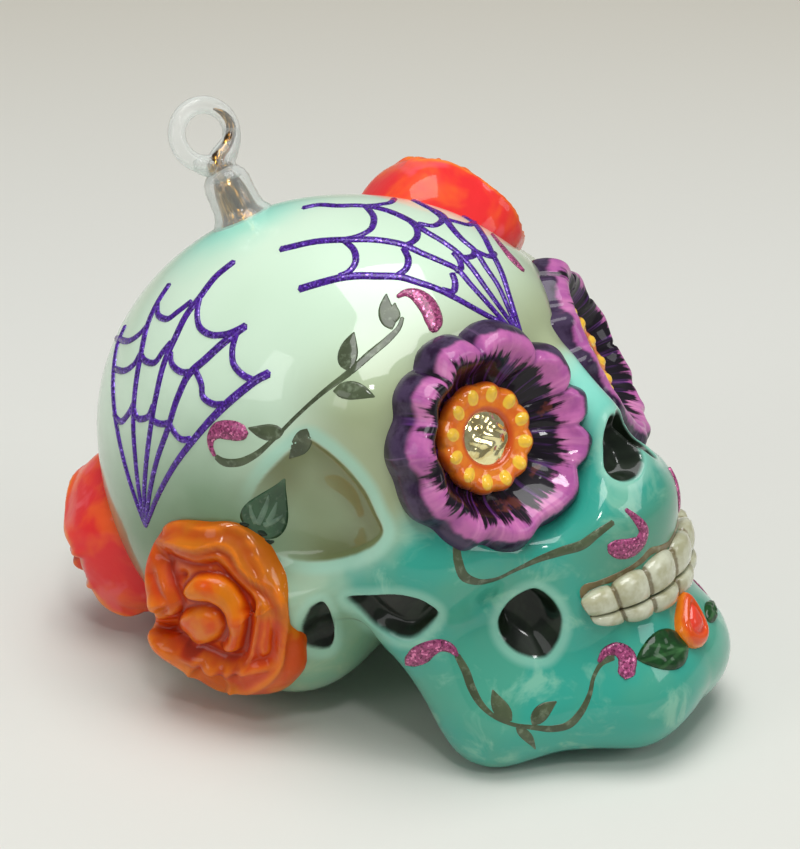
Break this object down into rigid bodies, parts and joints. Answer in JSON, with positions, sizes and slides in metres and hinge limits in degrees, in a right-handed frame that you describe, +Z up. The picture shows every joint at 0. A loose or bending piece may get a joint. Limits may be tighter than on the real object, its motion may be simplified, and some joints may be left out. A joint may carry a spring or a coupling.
{
  "type": "sugar skull ornament",
  "caption": "Hollow glass sugar skull ornament with flowered mirror eyes, roses, teeth and a hanging loop; it stands on its jaw and the back of its head, or hangs.",
  "frame": {"origin": "on the surface that it stands on, under the middle of its bounding box", "axes": "+Z up, -Y to the front of the face, +X to the skull's own left"},
  "size_m": [0.07, 0.1054, 0.085],
  "materials": {
    "skull_glass": "glossy lacquer over blown glass",
    "silvered_glass": "silvered inside, glossy",
    "clear_glass": "clear and glossy",
    "petal_lacquer": "glossy lacquer",
    "disc_lacquer": "glossy lacquer",
    "eye_mirror": "silvered, glossy",
    "rose_orange": "glossy lacquer",
    "rose_red": "glossy lacquer",
    "tooth_lacquer": "glossy lacquer",
    "bud_lacquer": "glossy lacquer",
    "leaf_lacquer": "glossy lacquer"
  },
  "bodies": {
    "root": {"skull_shell": "skull_glass", "hanger_neck": "silvered_glass", "hanger_loop": "clear_glass", "eye_petals_right": "petal_lacquer", "eye_disc_right": "disc_lacquer", "eye_mirror_right": "eye_mirror", "eye_petals_left": "petal_lacquer", "eye_disc_left": "disc_lacquer", "eye_mirror_left": "eye_mirror", "rose_right": "rose_orange", "rose_back": "rose_red", "rose_left_temple": "rose_red", "upper_teeth": "tooth_lacquer", "lower_teeth": "tooth_lacquer", "chin_rosebud": "bud_lacquer", "chin_leaf_right": "leaf_lacquer", "chin_leaf_left": "leaf_lacquer"}
  },
  "joints": []
}
